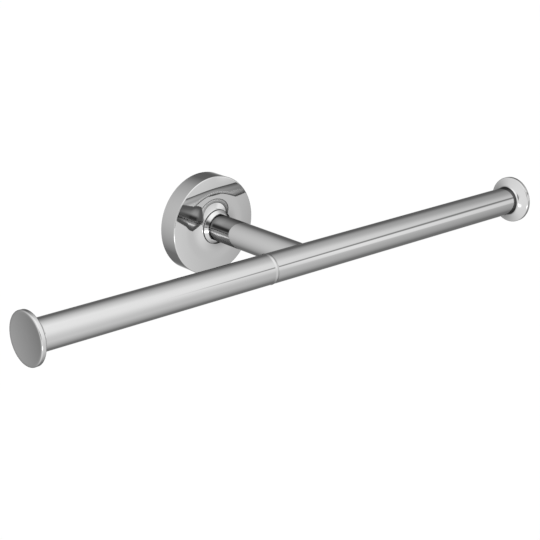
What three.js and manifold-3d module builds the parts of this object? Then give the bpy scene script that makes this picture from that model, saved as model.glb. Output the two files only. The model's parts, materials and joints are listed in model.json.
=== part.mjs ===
// Wall-mounted holder for two toilet rolls: a flange, a post and a crossbar with a button cap at each end.
// Millimetres, +Z up. The origin is the centre of the wall face.
// +Y points into the wall, and the bar runs along X.

import * as THREE from 'three';
import { mergeVertices } from 'three/addons/utils/BufferGeometryUtils.js';
import Module from 'manifold-3d';

const wasm = await Module();
wasm.setup();

// Overall sizes
const overallWidth = 296;
const barAxisFromWall = 73;
const barDiameter = 14;
const barWall = 1.2;
const postDiameter = 13;

// Crossbar joint: one seam beside the post, where both tube ends swell slightly
const seamOffset = 22.3;
const seamSwellHeight = 0.16;
const seamSwellLength = 1.7;

// End caps, from the bar outwards
const capDiameter = 23.2;
const capRootFillet = 1.6;
const capFlareRadius = 22;
const capFlareTilt = 0.375;
const capRim = 1.15;
const capEdgeRound = 0.55;
const capDish = 0.4;

// Wall flange, from the wall outwards
const flangeDiameter = 48.6;
const flangeWall = 3;
const flangeBevel = 0.45;
const flangePlate = 3;
const socketFloor = 2.2;

// Flare and collar round the foot of the post
const flareReach = 5.35;
const flareRadius = 15;
const flareRootFillet = 1.3;
const collarStep = 2.15;
const collarWall = 0.4;

// Wall bracket
const bracketWeb = 2;
const bracketRim = 1.6;
const bracketGrooveDepth = 1.2;
const slotSpacing = 25;
const slotWidth = 4.6;
const slotLength = 9;

// Set screw under the flange
const grubDiameter = 4;
const grubPointDiameter = 0.4;
const grubSocketFlats = 2;
const grubSocketDepth = 1.5;
const grubRecess = 0.3;

// Tie bolt, washer and locating pin
const boltDiameter = 5;
const boltHeadDiameter = 9.5;
const boltHeadHeight = 2.8;
const boltHeadCrown = 1.6;
const boltSocketFlats = 3;
const boltSocketDepth = 1.6;
const boltPastBarAxis = 2.8;
const washerDiameter = 9.2;
const washerThickness = 1.2;
const washerSplit = 1;
const washerSplitTilt = 0.35;
const pinDiameter = 2;
const pinLength = 3.8;

// Rod and plugs inside the crossbar
const coreReachRight = 14;
const coreStudLength = 13;
const seamPlugLength = 16;
const seamPlugWall = 1.5;
const capStudLength = 12;
const endPlugLength = 14;
const endPlugWall = 2.5;
const edgeChamfer = 0.5;

// Clearances
const slideFit = 0.15;
const boltClearance = 0.3;
const bracketClearance = 0.3;
const headClearance = 1;
const pointClearance = 0.45;
const saddleClearance = 0.3;
const holeEndClearance = 1;
const cutMargin = 1;

// Facets round each kind of piece, and steps along its curves
const flangeFacets = 64;
const barFacets = 48;
const saddleFacets = 96;
const innerFacets = 32;
const smallFacets = 24;
const slotEndSteps = 8;
const flareSteps = 6;
const roundSteps = 5;
const capSteps = 4;
const crownSteps = 4;
const mergeDistance = 1e-4;

// Radii and levels worked out from the sizes above; a level is a distance from the wall
const barRadius = barDiameter / 2;
const tubeBore = barRadius - barWall;
const innerRadius = tubeBore - slideFit;
const seamPlugBore = innerRadius - seamPlugWall;
const coreStudRadius = seamPlugBore - slideFit;
const endPlugBore = innerRadius - endPlugWall;
const capStudRadius = endPlugBore - slideFit;
const postRadius = postDiameter / 2;
const postBore = boltDiameter / 2 + boltClearance;
const capFace = overallWidth / 2;
const capFaceRadius = capDiameter / 2 - capEdgeRound;
const rimFront = capFace - capEdgeRound;
const rimBack = rimFront - capRim;
const capFlareCentre = point(
  capFaceRadius + (capEdgeRound + capFlareRadius) * Math.sin(capFlareTilt),
  rimBack - (capEdgeRound + capFlareRadius) * Math.cos(capFlareTilt),
);
const capFlareInset = capFlareRadius - capRootFillet;
const capRootTilt = Math.asin((capFlareCentre.x - barRadius - capRootFillet) / capFlareInset);
const barEnd = capFlareCentre.y + capFlareInset * Math.cos(capRootTilt);
const flangeRadius = flangeDiameter / 2;
const cupRadius = flangeRadius - flangeWall;
const headLevel = bracketWeb + headClearance;
const seatLevel = headLevel + boltHeadHeight;
const plateLevel = seatLevel + washerThickness;
const faceLevel = plateLevel + flangePlate;
const socketLevel = plateLevel + socketFloor;
const socketRadius = postRadius + slideFit;
const collarRadius = postRadius + collarStep;
const boltTip = barAxisFromWall + boltPastBarAxis;
const pinLevel = plateLevel + slideFit;
const pinOffset = (postBore + postRadius) / 2;
const pinHoleRadius = pinDiameter / 2 + slideFit;
const bracketRadius = cupRadius - bracketClearance;
const grooveFloor = bracketRadius - bracketGrooveDepth;
const grubLevel = seatLevel / 2;

// Materials
const chrome = { color: 0xd8dbde, roughness: 0.06, metalness: 1 };
const brass = { color: 0xb9964f, roughness: 0.35, metalness: 1 };
const steel = { color: 0x9ba0a5, roughness: 0.4, metalness: 1 };

// Geometry helpers

function point(radius, level) {
  return new THREE.Vector2(radius, level);
}

function arcPoints(centre, radius, startAngle, endAngle, steps) {
  const points = [];
  for (let i = 0; i <= steps; i += 1) {
    const angle = startAngle + ((endAngle - startAngle) * i) / steps;
    points.push(point(centre.x + radius * Math.cos(angle), centre.y + radius * Math.sin(angle)));
  }
  return points;
}

// A profile runs anticlockwise, radius to the right and level up, and is turned about the level axis.
function turned(profile, facets) {
  return solidOf(new THREE.LatheGeometry(profile, facets));
}

function ring(outer, inner, low, high, facets) {
  const profile = [point(outer, low), point(outer, high), point(inner, high), point(inner, low)];
  return turned([...profile, profile[0].clone()], facets);
}

function rod(radius, low, high, facets) {
  const geometry = new THREE.CylinderGeometry(radius, radius, high - low, facets);
  return geometry.translate(0, (low + high) / 2, 0);
}

function hexSocket(flats, low, high) {
  return rod(flats / Math.sqrt(3), low, high, 6);
}

// Merges a geometry's shared corners and leaves out the flat triangles that a turned tip has on its axis.
function solidOf(geometry) {
  geometry.deleteAttribute('normal');
  geometry.deleteAttribute('uv');
  const merged = mergeVertices(geometry, mergeDistance);
  const corners = merged.index.array;
  const triangles = [];
  for (let i = 0; i < corners.length; i += 3) {
    const [a, b, c] = [corners[i], corners[i + 1], corners[i + 2]];
    if (a !== b && b !== c && c !== a) {
      triangles.push(a, b, c);
    }
  }
  const vertProperties = new Float32Array(merged.attributes.position.array);
  const triVerts = new Uint32Array(triangles);
  return new wasm.Manifold(new wasm.Mesh({ numProp: 3, vertProperties, triVerts }));
}

function cut(solid, ...tools) {
  return tools.reduce((rest, tool) => rest.subtract(solidOf(tool)), solid);
}

function piece(name, solid, look) {
  const { vertProperties, triVerts } = solid.getMesh();
  const geometry = new THREE.BufferGeometry();
  geometry.setAttribute('position', new THREE.BufferAttribute(vertProperties, 3));
  geometry.setIndex(new THREE.BufferAttribute(triVerts, 1));
  geometry.computeVertexNormals();
  const mesh = new THREE.Mesh(geometry, new THREE.MeshStandardMaterial(look));
  mesh.name = name;
  return mesh;
}

// Pieces on the wall axis: local +Y runs from the wall into the room

// Shallow flare on the flange face that turns up through a small fillet into the collar's wall.
function flareProfile() {
  const bend = Math.asin((flareReach - flareRootFillet) / (flareRadius - flareRootFillet));
  const down = -Math.PI / 2;
  const flareCentre = point(collarRadius + flareReach, faceLevel + flareRadius);
  const flare = arcPoints(flareCentre, flareRadius, down, down - bend, flareSteps);
  const tangent = flare[flare.length - 1];
  const rootCentre = point(
    tangent.x + flareRootFillet * Math.sin(bend),
    tangent.y + flareRootFillet * Math.cos(bend),
  );
  const root = arcPoints(rootCentre, flareRootFillet, down - bend, -Math.PI, roundSteps);
  return [...flare, ...root.slice(1)];
}

function wallFlange() {
  const flare = flareProfile();
  const shoulder = flare[flare.length - 1].y + collarWall;
  const collarTop = shoulder + collarRadius - socketRadius;
  const profile = [
    point(flangeRadius, 0),
    point(flangeRadius, faceLevel - flangeBevel),
    point(flangeRadius - flangeBevel, faceLevel),
    ...flare,
    point(collarRadius, shoulder),
    point(socketRadius, collarTop),
    point(socketRadius, socketLevel),
    point(postBore, socketLevel),
    point(postBore, plateLevel),
    point(cupRadius, plateLevel),
    point(cupRadius, 0),
    point(flangeRadius, 0),
  ];
  const pinHole = rod(pinHoleRadius, plateLevel - cutMargin, socketLevel + cutMargin, smallFacets);
  pinHole.translate(pinOffset, 0, 0);
  const grubHoleRadius = grubDiameter / 2 + slideFit;
  const grubHole = rod(grubHoleRadius, cupRadius - cutMargin, flangeRadius + cutMargin, smallFacets);
  grubHole.rotateX(Math.PI / 2).translate(0, grubLevel, 0);
  return piece('wall_flange', cut(turned(profile, flangeFacets), pinHole, grubHole), chrome);
}

// The bracket is a shallow dish, so that the heads of its wall screws have room under the flange's plate.
function wallBracket() {
  const dishRadius = grooveFloor - bracketRim;
  const profile = [
    point(0, 0),
    point(bracketRadius, 0),
    point(bracketRadius, grubLevel - bracketGrooveDepth),
    point(grooveFloor, grubLevel),
    point(bracketRadius, grubLevel + bracketGrooveDepth),
    point(bracketRadius, seatLevel),
    point(dishRadius, seatLevel),
    point(dishRadius, bracketWeb),
    point(0, bracketWeb),
  ];
  const slots = [screwSlot(-slotSpacing / 2), screwSlot(slotSpacing / 2)];
  return piece('wall_bracket', cut(turned(profile, flangeFacets), ...slots), steel);
}

// The slots lie in line, so that the bracket can be shifted along its two wall screws.
function screwSlot(offset) {
  const half = slotWidth / 2;
  const reach = slotLength / 2 - half;
  const outline = new THREE.Shape();
  outline.absarc(reach, 0, half, -Math.PI / 2, Math.PI / 2, false);
  outline.absarc(-reach, 0, half, Math.PI / 2, (3 * Math.PI) / 2, false);
  const depth = bracketWeb + 2 * cutMargin;
  const options = { depth, bevelEnabled: false, curveSegments: slotEndSteps };
  const geometry = new THREE.ExtrudeGeometry(outline, options);
  return geometry.rotateX(-Math.PI / 2).translate(offset, -cutMargin, 0);
}

// The set screw's square-angled point faces the wall axis and sits in the bracket's groove of the same angle.
function flangeGrubScrew() {
  const radius = grubDiameter / 2;
  const pointRadius = grubPointDiameter / 2;
  const tip = grooveFloor + pointRadius + pointClearance;
  const end = flangeRadius - grubRecess;
  const profile = [
    point(0, tip),
    point(pointRadius, tip),
    point(radius, tip + radius - pointRadius),
    point(radius, end),
    point(0, end),
  ];
  const socket = hexSocket(grubSocketFlats, end - grubSocketDepth, end + cutMargin);
  const mesh = piece('flange_grub_screw', cut(turned(profile, smallFacets), socket), steel);
  mesh.rotation.x = Math.PI / 2;
  mesh.position.y = grubLevel;
  return mesh;
}

function post() {
  const bar = ring(postRadius, postBore, socketLevel, barAxisFromWall, barFacets);
  const saddle = rod(barRadius + saddleClearance, -postDiameter, postDiameter, saddleFacets);
  saddle.rotateZ(Math.PI / 2).translate(0, barAxisFromWall, 0);
  const pinHoleEnd = pinLevel + pinLength + slideFit;
  const pinHole = rod(pinHoleRadius, socketLevel - cutMargin, pinHoleEnd, smallFacets);
  pinHole.translate(pinOffset, 0, 0);
  return piece('post', cut(bar, saddle, pinHole), chrome);
}

function postDowelPin() {
  const radius = pinDiameter / 2;
  const end = pinLevel + pinLength;
  const tip = edgeChamfer / 2;
  const profile = [
    point(0, pinLevel),
    point(radius - tip, pinLevel),
    point(radius, pinLevel + tip),
    point(radius, end - tip),
    point(radius - tip, end),
    point(0, end),
  ];
  const mesh = piece('post_dowel_pin', turned(profile, smallFacets), steel);
  mesh.position.x = pinOffset;
  return mesh;
}

function postTieBolt() {
  const headRadius = boltHeadDiameter / 2;
  const shankRadius = boltDiameter / 2;
  const crown = [];
  for (let i = 0; i <= crownSteps; i += 1) {
    const angle = (i / crownSteps) * (Math.PI / 2);
    crown.push(point(headRadius * Math.sin(angle), headLevel + boltHeadCrown * (1 - Math.cos(angle))));
  }
  const profile = [
    ...crown,
    point(headRadius, seatLevel),
    point(shankRadius, seatLevel),
    point(shankRadius, boltTip - edgeChamfer),
    point(shankRadius - edgeChamfer, boltTip),
    point(0, boltTip),
  ];
  const socket = hexSocket(boltSocketFlats, headLevel - cutMargin, headLevel + boltSocketDepth);
  return piece('post_tie_bolt', cut(turned(profile, smallFacets), socket), steel);
}

function tieBoltWasher() {
  const outer = washerDiameter / 2;
  const washer = ring(outer, boltDiameter / 2 + slideFit, seatLevel, plateLevel, innerFacets);
  const split = new THREE.BoxGeometry(washerSplit, washerThickness + 2 * cutMargin, washerDiameter);
  split.rotateZ(washerSplitTilt).translate(0, (seatLevel + plateLevel) / 2, outer);
  return piece('tie_bolt_washer', cut(washer, split), steel);
}

// Pieces on the bar axis: local +Y runs along the bar to the right, local -X faces the wall

function barRight() {
  const start = -seamOffset;
  const profile = [
    point(barRadius + seamSwellHeight, start),
    point(barRadius + seamSwellHeight / 2, start + seamSwellLength / 2),
    point(barRadius, start + seamSwellLength),
    point(barRadius, barEnd),
    point(tubeBore, barEnd),
    point(tubeBore, start),
    point(barRadius + seamSwellHeight, start),
  ];
  const boltHole = rod(postBore, 0, barDiameter, smallFacets).rotateZ(Math.PI / 2);
  return piece('bar_right', cut(turned(profile, barFacets), boltHole), chrome);
}

function barLeft() {
  const end = -seamOffset;
  const profile = [
    point(barRadius, -barEnd),
    point(barRadius, end - seamSwellLength),
    point(barRadius + seamSwellHeight / 2, end - seamSwellLength / 2),
    point(barRadius + seamSwellHeight, end),
    point(tubeBore, end),
    point(tubeBore, -barEnd),
    point(barRadius, -barEnd),
  ];
  return piece('bar_left', turned(profile, barFacets), chrome);
}

function barCore() {
  const studEnd = -seamOffset - coreStudLength;
  const profile = [
    point(0, studEnd),
    point(coreStudRadius - edgeChamfer, studEnd),
    point(coreStudRadius, studEnd + edgeChamfer),
    point(coreStudRadius, -seamOffset),
    point(innerRadius, -seamOffset),
    point(innerRadius, coreReachRight - edgeChamfer),
    point(innerRadius - edgeChamfer, coreReachRight),
    point(0, coreReachRight),
  ];
  const holeEnd = boltPastBarAxis + holeEndClearance;
  const boltHole = rod(boltDiameter / 2 + slideFit, -holeEnd, barDiameter, smallFacets).rotateZ(Math.PI / 2);
  return piece('bar_core', cut(turned(profile, innerFacets), boltHole), brass);
}

function seamPlug() {
  const plug = ring(innerRadius, seamPlugBore, -seamOffset - seamPlugLength, -seamOffset, innerFacets);
  return piece('seam_plug', plug, brass);
}

// Each end's plug and cap are made for the right end; the left end is the same pair turned round.
function endPlug(name) {
  const plug = ring(innerRadius, endPlugBore, barEnd - endPlugLength, barEnd, innerFacets);
  return piece(name, plug, brass);
}

// The cap's back is a shallow flare between the fillet at the bar and the round edge of the rim.
function endCap(name) {
  const studEnd = barEnd - capStudLength;
  const rootCentre = point(barRadius + capRootFillet, barEnd);
  const right = Math.PI / 2;
  const rootAngle = right + capRootTilt;
  const flareAngle = right + capFlareTilt;
  const dishRadius = (capFaceRadius ** 2 + capDish ** 2) / (2 * capDish);
  const dishAngle = Math.asin(capFaceRadius / dishRadius);
  const dishCentre = point(0, capFace - capDish + dishRadius);
  const profile = [
    point(0, studEnd),
    point(capStudRadius - edgeChamfer, studEnd),
    point(capStudRadius, studEnd + edgeChamfer),
    point(capStudRadius, barEnd),
    ...arcPoints(rootCentre, capRootFillet, Math.PI, rootAngle, capSteps),
    ...arcPoints(capFlareCentre, capFlareRadius, rootAngle, flareAngle, capSteps).slice(1),
    ...arcPoints(point(capFaceRadius, rimBack), capEdgeRound, capFlareTilt - right, 0, capSteps).slice(1),
    ...arcPoints(point(capFaceRadius, rimFront), capEdgeRound, 0, right, capSteps),
    ...arcPoints(dishCentre, dishRadius, dishAngle - right, -right, capSteps).slice(1),
  ];
  return piece(name, turned(profile, barFacets), chrome);
}

function endPair(side, turn) {
  const pair = new THREE.Group();
  pair.add(endPlug(`end_plug_${side}`), endCap(`end_cap_${side}`));
  pair.rotation.z = turn;
  return pair;
}

// Assembly

const wallAxis = new THREE.Group();
wallAxis.rotation.x = Math.PI;
wallAxis.add(wallBracket(), wallFlange(), flangeGrubScrew(), post());
wallAxis.add(postDowelPin(), postTieBolt(), tieBoltWasher());

const barAxis = new THREE.Group();
barAxis.rotation.z = -Math.PI / 2;
barAxis.position.y = -barAxisFromWall;
barAxis.add(barRight(), barLeft(), barCore(), seamPlug());
barAxis.add(endPair('right', 0), endPair('left', Math.PI));

const holder = new THREE.Group();
holder.add(wallAxis, barAxis);

export default holder;
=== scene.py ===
import json
import math

import bpy
from mathutils import Matrix, Vector


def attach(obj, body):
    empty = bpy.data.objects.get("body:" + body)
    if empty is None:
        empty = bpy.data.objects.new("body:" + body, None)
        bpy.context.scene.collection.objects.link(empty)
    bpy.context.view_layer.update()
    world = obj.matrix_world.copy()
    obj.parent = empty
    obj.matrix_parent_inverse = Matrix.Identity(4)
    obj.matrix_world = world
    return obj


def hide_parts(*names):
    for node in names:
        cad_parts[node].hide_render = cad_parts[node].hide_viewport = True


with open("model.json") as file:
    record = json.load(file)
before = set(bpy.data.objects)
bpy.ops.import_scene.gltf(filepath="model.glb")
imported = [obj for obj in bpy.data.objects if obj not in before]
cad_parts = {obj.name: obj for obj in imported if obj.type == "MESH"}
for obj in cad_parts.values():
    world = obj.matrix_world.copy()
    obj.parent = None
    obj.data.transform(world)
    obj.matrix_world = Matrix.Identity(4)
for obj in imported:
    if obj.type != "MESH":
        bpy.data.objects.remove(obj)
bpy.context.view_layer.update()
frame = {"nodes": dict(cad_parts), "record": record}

# Chrome holder for two toilet rolls, with the centre of its wall face at the origin.
# Lengths are in metres and angles in radians. A level is a distance along a piece's own axis.

MM = 0.001
UP = Vector((0, 0, 1))
ROOM = Vector((0, -1, 0))
RIGHT = Vector((1, 0, 0))
LEFT = Vector((-1, 0, 0))
QUARTER_TURN = math.pi / 2

# Fineness of the meshes, and how near counts as the same place
FACETS = 192
HOLE_FACETS = 48
PIN_HOLE_FACETS = 32
COPE_FACETS = 384
SMOOTH_ANGLE = math.radians(30)
NEAR = 0.01 * MM
SAME_RADIUS = 1e-6 * MM

# Crossbar
bar_axis = Vector((0, -73 * MM, 0))
bar_radius = 7.0 * MM
bar_bore = 5.8 * MM
seam_place = 22.3 * MM
seam_swell = 0.16 * MM
seam_swell_length = 1.1 * MM

# End caps
cap_face = 148.0 * MM
cap_radius = 11.6 * MM
cap_rim = 1.15 * MM
cap_edge_round = 0.55 * MM
cap_dish = 0.4 * MM
cap_flare_tilt = 0.375
cap_flare_radius = 22.0 * MM
cap_root_fillet = 1.6 * MM
cap_stud_radius = 3.0 * MM
cap_stud_length = 12.0 * MM

# The flare of a cap runs smoothly into the fillet at the bar, and so fixes where the tube ends.
cap_face_radius = cap_radius - cap_edge_round
rim_front = cap_face - cap_edge_round
rim_back = rim_front - cap_rim
cap_flare_centre = (cap_face_radius + (cap_edge_round + cap_flare_radius) * math.sin(cap_flare_tilt),
                    rim_back - (cap_edge_round + cap_flare_radius) * math.cos(cap_flare_tilt))
cap_flare_inset = cap_flare_radius - cap_root_fillet
cap_root_tilt = math.asin((cap_flare_centre[0] - bar_radius - cap_root_fillet) / cap_flare_inset)
bar_end = cap_flare_centre[1] + cap_flare_inset * math.cos(cap_root_tilt)

# Post, with the holes for its bolt and pin. Its blank stops short of the crossbar's axis and is then coped.
post_radius = 6.5 * MM
post_foot = 9.2 * MM
post_end_gap = 1.5 * MM
cope_gap = 0.02 * MM
cope_length = 40.0 * MM
bolt_hole_radius = 2.8 * MM
bolt_hole_in_post = 80.0 * MM
bolt_hole_in_flange = 8.0 * MM
pin_hole_radius = 1.05 * MM
pin_hole_length = 4.4 * MM
pin_place = RIGHT * 4.65 * MM + ROOM * 9.0 * MM

# Wall flange: a face crowned in two arcs, a straight seat, a hollow flare and a grooved collar
flange_radius = 24.3 * MM
flange_wall = 3.0 * MM
flange_face = 10.0 * MM
flange_plate = 7.0 * MM
flange_edge = 0.45 * MM
flange_back_round = 0.2 * MM
crown_tilt = math.radians(7.8)
crown_turn = math.radians(4.8)
crown_outer = 115.0 * MM
crown_inner = 29.0 * MM
seat_tilt = math.radians(0.7)
flare_radius = 15.5 * MM
flare_outer = 13.8 * MM
root_fillet = 0.5 * MM
collar_radius = 8.4 * MM
collar_wall = 0.75 * MM
collar_round = 0.12 * MM
collar_mouth = 7.0 * MM
collar_groove = 0.4 * MM
socket_radius = 6.53 * MM
set_screw_level = 2.9 * MM
set_screw_hole_radius = 2.15 * MM
set_screw_hole_length = 12.0 * MM

# Floor, far below the holder, and how much of its own white the camera sees
floor_size = 20.0
floor_drop = 0.7
floor_grey = 0.9
floor_white = 1.02
floor_white_share = 0.85

# Camera at the photograph's viewing angle; the first three are degrees, and the last two millimetres
view_azimuth = -42.55
view_elevation = 19.62
view_roll = 1.01
view_distance = 652.4 * MM
view_across = -15.3 * MM
view_above = -5.03 * MM
view_limit = 50.0
lens_length = 96.55
film_width = 36.0


# Modelling by hand

def deselect_everything():
    if bpy.context.mode != "OBJECT":
        bpy.ops.object.mode_set(mode="OBJECT")
    bpy.ops.object.select_all(action="DESELECT")


def take_up(piece):
    deselect_everything()
    piece.select_set(True)
    bpy.context.view_layer.objects.active = piece


class Turning:
    """A piece turned on one axis: the end ring is drawn on, step by step, to a new radius and level."""

    def __init__(self, name, start, axis, radius, level):
        deselect_everything()
        self.start = Vector(start)
        self.axis = Vector(axis)
        self.radius = radius
        self.level = level
        bpy.ops.mesh.primitive_circle_add(
            vertices=FACETS, radius=radius, fill_type="NGON",
            location=self.start + self.axis * level,
            rotation=self.axis.to_track_quat("Z", "Y").to_euler())
        self.piece = bpy.context.object
        self.piece.name = name
        self.piece.data.name = name
        bpy.ops.object.transform_apply(location=True, rotation=True, scale=True)
        bpy.ops.object.mode_set(mode="EDIT")
        bpy.ops.mesh.select_mode(type="FACE")
        bpy.ops.mesh.select_all(action="SELECT")

    def to(self, radius, level):
        step = self.axis * (level - self.level)
        bpy.ops.mesh.extrude_region_move(TRANSFORM_OT_translate={"value": step})
        if abs(radius - self.radius) > SAME_RADIUS:
            grow = radius / self.radius
            centre = self.start + self.axis * level
            bpy.ops.transform.resize(value=(grow, grow, grow), center_override=centre)
        self.radius = radius
        self.level = level

    def along(self, points):
        for radius, level in points:
            self.to(radius, level)

    def off(self):
        """Takes the finished shape off the lathe."""
        bpy.ops.mesh.select_all(action="SELECT")
        bpy.ops.mesh.normals_make_consistent(inside=False)
        bpy.ops.object.mode_set(mode="OBJECT")
        return self.piece

    def place_of(self, point):
        """Radius and level of a point."""
        offset = Vector(point) - self.start
        level = offset.dot(self.axis)
        return (offset - self.axis * level).length, level


def pick(piece, kind, wanted):
    """Goes into edit mode with the wanted ones of a piece's faces or edges selected."""
    take_up(piece)
    bpy.ops.object.mode_set(mode="EDIT")
    bpy.ops.mesh.select_mode(type=kind)
    bpy.ops.mesh.select_all(action="DESELECT")
    bpy.ops.object.mode_set(mode="OBJECT")
    for item in piece.data.polygons if kind == "FACE" else piece.data.edges:
        item.select = wanted(item)
    bpy.ops.object.mode_set(mode="EDIT")


def soften(turning, radius, level, width, segments):
    """Rounds the edge of a turned piece at one radius and level."""
    def on_edge(edge):
        places = [turning.place_of(turning.piece.data.vertices[corner].co) for corner in edge.vertices]
        return all(abs(r - radius) < NEAR and abs(h - level) < NEAR for r, h in places)
    pick(turning.piece, "EDGE", on_edge)
    bpy.ops.mesh.bevel(offset=width, segments=segments, profile=0.5, affect="EDGES")
    bpy.ops.object.mode_set(mode="OBJECT")


def end_face(turning, level):
    """Test for the whole round face that closes a turned piece at a level."""
    def is_end(face):
        return len(face.vertices) == FACETS and abs(turning.place_of(face.center)[1] - level) < NEAR
    return is_end


def bore_through(turning, levels, radius, from_radius):
    """Opens a hole between the two end faces at these levels."""
    tests = [end_face(turning, level) for level in levels]
    pick(turning.piece, "FACE", lambda face: any(test(face) for test in tests))
    bpy.ops.mesh.inset(thickness=from_radius - radius, use_individual=True)
    bpy.ops.mesh.bridge_edge_loops()
    bpy.ops.object.mode_set(mode="OBJECT")


def cut_away(piece, centre, axis, radius, length, facets):
    """Cuts a round hole or hollow out of a piece."""
    deselect_everything()
    bpy.ops.mesh.primitive_cylinder_add(
        vertices=facets, radius=radius, depth=length, location=centre,
        rotation=axis.to_track_quat("Z", "Y").to_euler())
    cutter = bpy.context.object
    take_up(piece)
    bpy.ops.object.modifier_add(type="BOOLEAN")
    cut = piece.modifiers[-1]
    cut.operation = "DIFFERENCE"
    cut.solver = "EXACT"
    cut.object = cutter
    bpy.ops.object.modifier_apply(modifier=cut.name)
    bpy.data.objects.remove(cutter)


def polish(piece):
    """Smooths the surface between its edges and keeps flat faces flat."""
    take_up(piece)
    bpy.ops.object.shade_smooth_by_angle(angle=SMOOTH_ANGLE)
    bpy.ops.object.modifier_add(type="WEIGHTED_NORMAL")
    normals = piece.modifiers[-1]
    normals.keep_sharp = True
    bpy.ops.object.modifier_apply(modifier=normals.name)
    deselect_everything()


def arc(centre, radius, start, end, steps):
    """Points of an arc in a turned piece's section, without its first."""
    points = []
    for i in range(1, steps + 1):
        angle = start + (end - start) * i / steps
        points.append((centre[0] + radius * math.cos(angle), centre[1] + radius * math.sin(angle)))
    return points


def sweep(section, radius, tilt, end_tilt, steps):
    """Carries a section on along an arc, from one tilt to another; a negative radius hollows it."""
    start, level = section[-1]
    for i in range(1, steps + 1):
        turn = tilt + (end_tilt - tilt) * i / steps
        section.append((start + radius * (math.sin(turn) - math.sin(tilt)),
                        level + radius * (math.cos(turn) - math.cos(tilt))))


# Pieces

def flange_section():
    """Section of the flange's front, from its rim in to the foot of the collar."""
    section = [(flange_radius, flange_face - flange_edge)]
    sweep(section, flange_edge, QUARTER_TURN, crown_tilt, steps=6)
    sweep(section, crown_outer, crown_tilt, crown_turn, steps=24)
    sweep(section, crown_inner, crown_turn, seat_tilt, steps=16)
    radius, level = section[-1]
    section.append((flare_outer, level + (radius - flare_outer) * math.tan(seat_tilt)))
    root_offset = flare_outer + flare_radius * math.sin(seat_tilt) - collar_radius - root_fillet
    root_tilt = math.asin(root_offset / (flare_radius - root_fillet))
    sweep(section, -flare_radius, seat_tilt, root_tilt, steps=32)
    sweep(section, -root_fillet, root_tilt, QUARTER_TURN, steps=12)
    return section


def make_flange():
    section = flange_section()
    shoulder = section[-1][1] + collar_wall
    collar_top = shoulder + collar_radius - collar_mouth

    flange = Turning("wall_flange_turned", (0, 0, 0), ROOM, flange_radius, 0)
    flange.along(section)
    flange.to(collar_radius, shoulder)
    flange.to(collar_mouth, collar_top)
    flange.to(collar_mouth, collar_top - collar_groove)
    flange.to(socket_radius, collar_top - collar_groove)
    flange.to(socket_radius, post_foot)
    piece = flange.off()

    pick(piece, "FACE", end_face(flange, 0))
    bpy.ops.mesh.inset(thickness=flange_wall)
    bpy.ops.mesh.extrude_region_move(TRANSFORM_OT_translate={"value": ROOM * flange_plate})
    bpy.ops.object.mode_set(mode="OBJECT")

    soften(flange, flange_radius, 0, flange_back_round, segments=2)
    soften(flange, collar_radius, shoulder, collar_round, segments=3)
    set_screw_place = ROOM * set_screw_level - UP * flange_radius
    cut_away(piece, set_screw_place, UP, set_screw_hole_radius, set_screw_hole_length, HOLE_FACETS)
    cut_away(piece, ROOM * post_foot, ROOM, bolt_hole_radius, bolt_hole_in_flange, HOLE_FACETS)
    cut_away(piece, pin_place, ROOM, pin_hole_radius, pin_hole_length, PIN_HOLE_FACETS)
    polish(piece)
    return piece


def make_post():
    post = Turning("post_turned", (0, 0, 0), ROOM, post_radius, post_foot)
    post.to(post_radius, -bar_axis.y - post_end_gap)
    piece = post.off()
    cut_away(piece, bar_axis, RIGHT, bar_radius + cope_gap, cope_length, COPE_FACETS)
    cut_away(piece, bar_axis / 2, ROOM, bolt_hole_radius, bolt_hole_in_post, HOLE_FACETS)
    cut_away(piece, pin_place, ROOM, pin_hole_radius, pin_hole_length, PIN_HOLE_FACETS)
    polish(piece)
    return piece


def make_tube(name, axis, seam_level, end_level):
    """A tube drawn from its seam to its cap; the seam end swells a little."""
    tube = Turning(name, bar_axis, axis, bar_radius + seam_swell, seam_level)
    steps = 6
    for i in range(1, steps + 1):
        share = i / steps
        tube.to(bar_radius + seam_swell * (1 - share), seam_level + seam_swell_length * share)
    tube.to(bar_radius, end_level)
    piece = tube.off()
    bore_through(tube, (seam_level, end_level), bar_bore, bar_radius)
    polish(piece)
    return piece


def make_cap(name, axis):
    """A cap turned from its stud to its face; the dish ends in a small flat in the middle."""
    root_angle = QUARTER_TURN + cap_root_tilt
    flare_angle = QUARTER_TURN + cap_flare_tilt
    root_centre = (bar_radius + cap_root_fillet, bar_end)
    cap = Turning(name, bar_axis, axis, cap_stud_radius, bar_end - cap_stud_length)
    cap.to(cap_stud_radius, bar_end)
    cap.to(bar_radius, bar_end)
    cap.along(arc(root_centre, cap_root_fillet, math.pi, root_angle, steps=16))
    cap.along(arc(cap_flare_centre, cap_flare_radius, root_angle, flare_angle, steps=12))
    cap.along(arc((cap_face_radius, rim_back), cap_edge_round, cap_flare_tilt - QUARTER_TURN, 0, steps=10))
    cap.to(cap_radius, rim_front)
    cap.along(arc((cap_face_radius, rim_front), cap_edge_round, 0, QUARTER_TURN, steps=10))
    steps = 12
    for i in range(1, steps):
        share = 1 - i / steps
        cap.to(cap_face_radius * share, cap_face - cap_dish * (1 - share ** 2))
    piece = cap.off()
    polish(piece)
    return piece


# Materials

def group_socket(tree, name, kind, way, value=None):
    socket = tree.interface.new_socket(name, in_out=way, socket_type=kind)
    if value is not None:
        socket.default_value = value


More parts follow.
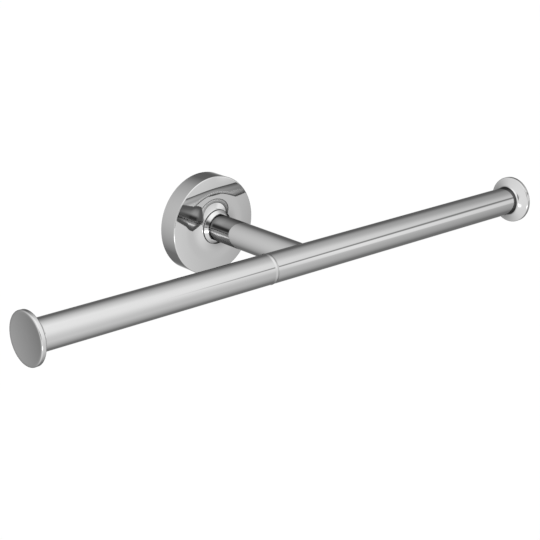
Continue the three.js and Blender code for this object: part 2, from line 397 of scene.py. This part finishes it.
def polish_marks():
    """Soft haze and very fine rubbing lines of a polished or brushed surface."""
    tree = bpy.data.node_groups.new("polish_marks", "ShaderNodeTree")
    group_socket(tree, "Vector", "NodeSocketVector", "INPUT")
    group_socket(tree, "Roughness", "NodeSocketFloat", "INPUT", 0.03)
    group_socket(tree, "Haze", "NodeSocketFloat", "INPUT", 0.02)
    group_socket(tree, "Haze Scale", "NodeSocketFloat", "INPUT", 90.0)
    group_socket(tree, "Line Scale", "NodeSocketFloat", "INPUT", 900.0)
    group_socket(tree, "Roughness", "NodeSocketFloat", "OUTPUT")
    group_socket(tree, "Lines", "NodeSocketFloat", "OUTPUT")
    add = tree.nodes.new
    link = tree.links.new
    entry = add("NodeGroupInput")
    leave = add("NodeGroupOutput")
    haze = add("ShaderNodeTexNoise")
    haze.inputs["Detail"].default_value = 4.0
    link(entry.outputs["Vector"], haze.inputs["Vector"])
    link(entry.outputs["Haze Scale"], haze.inputs["Scale"])
    spread = add("ShaderNodeMath")
    spread.operation = "MULTIPLY_ADD"
    link(haze.outputs["Fac"], spread.inputs[0])
    link(entry.outputs["Haze"], spread.inputs[1])
    link(entry.outputs["Roughness"], spread.inputs[2])
    link(spread.outputs["Value"], leave.inputs["Roughness"])
    lines = add("ShaderNodeTexNoise")
    lines.inputs["Detail"].default_value = 2.0
    link(entry.outputs["Vector"], lines.inputs["Vector"])
    link(entry.outputs["Line Scale"], lines.inputs["Scale"])
    link(lines.outputs["Fac"], leave.inputs["Lines"])
    return tree


def rubbed_metal(name, roughness, haze):
    """A bare metal whose gloss shows the marks of polishing."""
    material = bpy.data.materials.new(name)
    material.use_nodes = True
    tree = material.node_tree
    shader = tree.nodes["Principled BSDF"]
    shader.inputs["Metallic"].default_value = 1.0
    place = tree.nodes.new("ShaderNodeTexCoord")
    rubbed = tree.nodes.new("ShaderNodeGroup")
    rubbed.name = "rubbed"
    rubbed.node_tree = marks
    rubbed.inputs["Roughness"].default_value = roughness
    rubbed.inputs["Haze"].default_value = haze
    tree.links.new(place.outputs["Object"], rubbed.inputs["Vector"])
    tree.links.new(rubbed.outputs["Roughness"], shader.inputs["Roughness"])
    return material


def chrome_with_painted_edge_shade():
    """Polished chrome whose colour is darkened towards its outline: painted shade for the dark room it would
    mirror there.
    """
    material = rubbed_metal("polished_chrome_painted_edge_shade", roughness=0.012, haze=0.02)
    tree = material.node_tree
    shader = tree.nodes["Principled BSDF"]
    shader.inputs["Specular Tint"].default_value = (0.3, 0.3, 0.3, 1)
    # Painted shade: the base colour is light grey where the surface faces the eye and dark grey where it
    # turns away.
    facing = tree.nodes.new("ShaderNodeLayerWeight")
    facing.inputs["Blend"].default_value = 0.5
    painted_edge_shade = tree.nodes.new("ShaderNodeValToRGB")
    tree.links.new(facing.outputs["Facing"], painted_edge_shade.inputs["Fac"])
    ramp = painted_edge_shade.color_ramp.elements
    for turned_away in (0.2, 0.4, 0.6, 0.8):
        ramp.new(turned_away)
    for stop, grey in zip(ramp, (0.71, 0.62, 0.4, 0.21, 0.3, 0.3)):
        stop.color = (grey, grey, grey, 1)
    tree.links.new(painted_edge_shade.outputs["Color"], shader.inputs["Base Color"])
    return material


def plain_metal(name, colour, roughness, haze):
    """A metal of one colour with fine rubbing lines, for the pieces inside."""
    material = rubbed_metal(name, roughness, haze)
    tree = material.node_tree
    shader = tree.nodes["Principled BSDF"]
    shader.inputs["Base Color"].default_value = (*colour, 1)
    bump = tree.nodes.new("ShaderNodeBump")
    bump.inputs["Strength"].default_value = 0.05
    bump.inputs["Distance"].default_value = 0.1 * MM
    tree.links.new(tree.nodes["rubbed"].outputs["Lines"], bump.inputs["Height"])
    tree.links.new(bump.outputs["Normal"], shader.inputs["Normal"])
    return material


# Assembly

marks = polish_marks()
chrome = chrome_with_painted_edge_shade()
finishes = {
    "zinc_steel": plain_metal("zinc_plate", (0.60, 0.62, 0.64), roughness=0.28, haze=0.15),
    "turned_brass": plain_metal("turned_brass", (0.72, 0.55, 0.27), roughness=0.25, haze=0.12),
}

shown = {
    "wall_flange": make_flange(),
    "post": make_post(),
    "bar_right": make_tube("bar_right_tube", RIGHT, -seam_place, bar_end),
    "bar_left": make_tube("bar_left_tube", LEFT, seam_place, bar_end),
    "end_cap_right": make_cap("end_cap_right_turned", RIGHT),
    "end_cap_left": make_cap("end_cap_left_turned", LEFT),
}
for node, piece in shown.items():
    piece.data.materials.clear()
    piece.data.materials.append(chrome)
    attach(piece, "root")
    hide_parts(node)

for part in frame["record"]["subparts"]:
    finish = finishes.get(part["material_slot"])
    if finish is not None:
        node = frame["nodes"][part["node"]]
        node.data.materials.clear()
        node.data.materials.append(finish)


# Floor, light and camera

def make_floor():
    """A pale floor that keeps the holder's shadow and that the metal doesn't mirror."""
    deselect_everything()
    bpy.ops.mesh.primitive_plane_add(size=floor_size, location=-UP * floor_drop)
    floor = bpy.context.object
    floor.name = "floor"
    material = bpy.data.materials.new("pale_floor")
    material.use_nodes = True
    tree = material.node_tree
    tree.nodes.clear()
    add = tree.nodes.new
    link = tree.links.new
    matt = add("ShaderNodeBsdfDiffuse")
    matt.inputs["Color"].default_value = (floor_grey, floor_grey, floor_grey, 1)
    glow = add("ShaderNodeEmission")
    glow.inputs["Strength"].default_value = floor_white
    ray = add("ShaderNodeLightPath")
    share = add("ShaderNodeMath")
    share.operation = "MULTIPLY"
    share.inputs[1].default_value = floor_white_share
    link(ray.outputs["Is Camera Ray"], share.inputs[0])
    pale = add("ShaderNodeMixShader")
    link(share.outputs["Value"], pale.inputs["Fac"])
    link(matt.outputs["BSDF"], pale.inputs[1])
    link(glow.outputs["Emission"], pale.inputs[2])
    # The metal mirrors the white room all round, below the floor too.
    mirrored = add("ShaderNodeMath")
    mirrored.operation = "MAXIMUM"
    link(ray.outputs["Is Glossy Ray"], mirrored.inputs[0])
    link(ray.outputs["Is Transmission Ray"], mirrored.inputs[1])
    clear = add("ShaderNodeBsdfTransparent")
    blend = add("ShaderNodeMixShader")
    link(mirrored.outputs["Value"], blend.inputs["Fac"])
    link(pale.outputs["Shader"], blend.inputs[1])
    link(clear.outputs["BSDF"], blend.inputs[2])
    leave = add("ShaderNodeOutputMaterial")
    link(blend.outputs["Shader"], leave.inputs["Surface"])
    floor.data.materials.append(material)


def towards(azimuth, elevation):
    """A direction in degrees, seen from the holder: azimuth 0 is into the room, and 90 to the right."""
    turn = math.radians(azimuth)
    rise = math.radians(elevation)
    return Vector((math.sin(turn) * math.cos(rise), -math.cos(turn) * math.cos(rise), math.sin(rise)))


def side_and_top(facing, lean):
    """Which way the side and the top of a card or camera point when it leans by some degrees."""
    level = UP.cross(facing).normalized()
    upright = facing.cross(level)
    turn = math.radians(lean)
    side = level * math.cos(turn) + upright * math.sin(turn)
    top = upright * math.cos(turn) - level * math.sin(turn)
    return side, top


def card_mask():
    """Where a studio card with soft edges stands, looked at from the holder."""
    tree = bpy.data.node_groups.new("card_mask", "ShaderNodeTree")
    for name in ("Direction", "Facing", "Side", "Top"):
        group_socket(tree, name, "NodeSocketVector", "INPUT")
    for name in ("Half Width", "Half Height", "Softness"):
        group_socket(tree, name, "NodeSocketFloat", "INPUT")
    group_socket(tree, "Mask", "NodeSocketFloat", "OUTPUT")
    add = tree.nodes.new
    link = tree.links.new
    entry = add("NodeGroupInput")
    leave = add("NodeGroupOutput")

    def reach(way):
        dot = add("ShaderNodeVectorMath")
        dot.operation = "DOT_PRODUCT"
        link(entry.outputs["Direction"], dot.inputs[0])
        link(entry.outputs[way], dot.inputs[1])
        return dot.outputs["Value"]

    def reckon(operation, *values):
        node = add("ShaderNodeMath")
        node.operation = operation
        for i, value in enumerate(values):
            link(value, node.inputs[i])
        return node.outputs["Value"]

    ahead = reach("Facing")
    inside = []
    for way, half in (("Side", "Half Width"), ("Top", "Half Height")):
        angle = reckon("ARCTAN2", reckon("ABSOLUTE", reach(way)), ahead)
        edge = add("ShaderNodeMapRange")
        edge.interpolation_type = "SMOOTHSTEP"
        edge.inputs["To Min"].default_value = 1.0
        edge.inputs["To Max"].default_value = 0.0
        link(angle, edge.inputs["Value"])
        link(reckon("SUBTRACT", entry.outputs[half], entry.outputs["Softness"]), edge.inputs["From Min"])
        link(reckon("ADD", entry.outputs[half], entry.outputs["Softness"]), edge.inputs["From Max"])
        inside.append(edge.outputs["Result"])
    link(reckon("MULTIPLY", *inside), leave.inputs["Mask"])
    return tree


class Surroundings:
    """The light from each direction of a white room; lights and cards, in degrees, are laid over it."""

    def __init__(self, tree):
        self.add = tree.nodes.new
        self.link = tree.links.new
        self.mask = card_mask()
        self.direction = self.add("ShaderNodeTexCoord").outputs["Generated"]
        self.light = None

    def glow(self, azimuth, elevation, spread, gain):
        """A wide soft light or, with a negative gain, a wide shaded part of the room."""
        facing = self.add("ShaderNodeVectorMath")
        facing.operation = "DOT_PRODUCT"
        facing.inputs[1].default_value = towards(azimuth, elevation)
        self.link(self.direction, facing.inputs[0])
        fall = self.add("ShaderNodeMapRange")
        fall.interpolation_type = "SMOOTHSTEP"
        fall.inputs["From Min"].default_value = math.cos(math.radians(spread))
        fall.inputs["From Max"].default_value = 1.0
        fall.inputs["To Min"].default_value = 0.0
        fall.inputs["To Max"].default_value = gain
        self.link(facing.outputs["Value"], fall.inputs["Value"])
        total = self.add("ShaderNodeMath")
        total.operation = "ADD"
        total.inputs[0].default_value = 1.0
        if self.light is not None:
            self.link(self.light, total.inputs[0])
        self.link(fall.outputs["Result"], total.inputs[1])
        self.light = total.outputs["Value"]

    def card(self, azimuth, elevation, tilt, half_width, half_height, softness, brightness):
        """A card or panel with soft edges, in front of what is there already."""
        facing = towards(azimuth, elevation)
        side, top = side_and_top(facing, tilt)
        card = self.add("ShaderNodeGroup")
        card.node_tree = self.mask
        card.inputs["Facing"].default_value = facing
        card.inputs["Side"].default_value = side
        card.inputs["Top"].default_value = top
        card.inputs["Half Width"].default_value = math.radians(half_width)
        card.inputs["Half Height"].default_value = math.radians(half_height)
        card.inputs["Softness"].default_value = math.radians(softness)
        self.link(self.direction, card.inputs["Direction"])
        laid = self.add("ShaderNodeMix")
        self.link(card.outputs["Mask"], laid.inputs["Factor"])
        self.link(self.light, laid.inputs["A"])
        laid.inputs["B"].default_value = brightness
        self.light = laid.outputs["Result"]


def make_studio():
    """A white room with a few soft lights and cards, which the chrome mirrors."""
    world = bpy.data.worlds.new("white_studio")
    bpy.context.scene.world = world
    world.use_nodes = True
    tree = world.node_tree
    room = Surroundings(tree)

    # The main light stands high on the right, with shade below it and beside it, and a fill light low down.
    room.glow(azimuth=55, elevation=45, spread=75, gain=0.6)
    room.glow(azimuth=45, elevation=25, spread=60, gain=-0.4)
    room.glow(azimuth=115, elevation=30, spread=50, gain=-0.5)
    room.glow(azimuth=130, elevation=-10, spread=70, gain=0.3)

    # On the right, a panel under a dark bar
    room.card(azimuth=48, elevation=18, tilt=25, half_width=9, half_height=3, softness=2, brightness=0.4)
    room.card(azimuth=48, elevation=4, tilt=0, half_width=7, half_height=9, softness=3, brightness=1.4)

    # On the left, a dark card over a low strip light
    room.card(azimuth=-45, elevation=18, tilt=-20, half_width=20, half_height=14, softness=10, brightness=0.1)
    room.card(azimuth=-45, elevation=-25, tilt=5, half_width=20, half_height=4, softness=6, brightness=4.0)

    # The camera sees plain white.
    ray = tree.nodes.new("ShaderNodeLightPath")
    seen = tree.nodes.new("ShaderNodeMix")
    tree.links.new(ray.outputs["Is Camera Ray"], seen.inputs["Factor"])
    tree.links.new(room.light, seen.inputs["A"])
    seen.inputs["B"].default_value = 1.0
    background = tree.nodes["Background"]
    background.inputs["Color"].default_value = (1, 1, 1, 1)
    tree.links.new(seen.outputs["Result"], background.inputs["Strength"])


def make_camera():
    back = towards(view_azimuth, view_elevation)
    side, top = side_and_top(back, view_roll)
    data = bpy.data.cameras.new("camera")
    data.sensor_width = film_width
    data.lens = lens_length
    data.clip_end = view_limit
    camera = bpy.data.objects.new("camera", data)
    bpy.context.scene.collection.objects.link(camera)
    turned = Matrix((side, top, back)).transposed().to_4x4()
    turned.translation = bar_axis + side * view_across + top * view_above + back * view_distance
    camera.matrix_world = turned
    bpy.context.scene.camera = camera


make_floor()
make_studio()
make_camera()
bpy.context.scene.view_settings.view_transform = "Standard"
